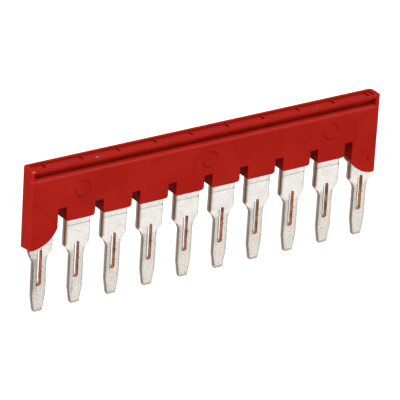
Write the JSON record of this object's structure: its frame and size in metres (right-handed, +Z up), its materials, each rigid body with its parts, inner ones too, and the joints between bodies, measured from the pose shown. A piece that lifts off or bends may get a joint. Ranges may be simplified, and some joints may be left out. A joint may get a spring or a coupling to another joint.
{
  "type": "terminal block jumper bar",
  "caption": "Plug-in jumper bar: a row of slotted flat metal prongs in a slim moulded housing with a grip groove, for bridging terminal blocks.",
  "frame": {"origin": "mid length and mid thickness of the housing, on the plane where the middle prongs leave it", "axes": "+X along the bar, -Y out of the face with the grip groove, +Z up, away from the prong tips"},
  "size_m": [0.0604, 0.0026, 0.0228],
  "materials": {
    "red_polyamide": "satin moulded",
    "tinned_copper": "satin tin plate, bare copper on the sheared edges"
  },
  "bodies": {
    "root": {"housing": "red_polyamide", "contact_comb": "tinned_copper"}
  },
  "joints": []
}
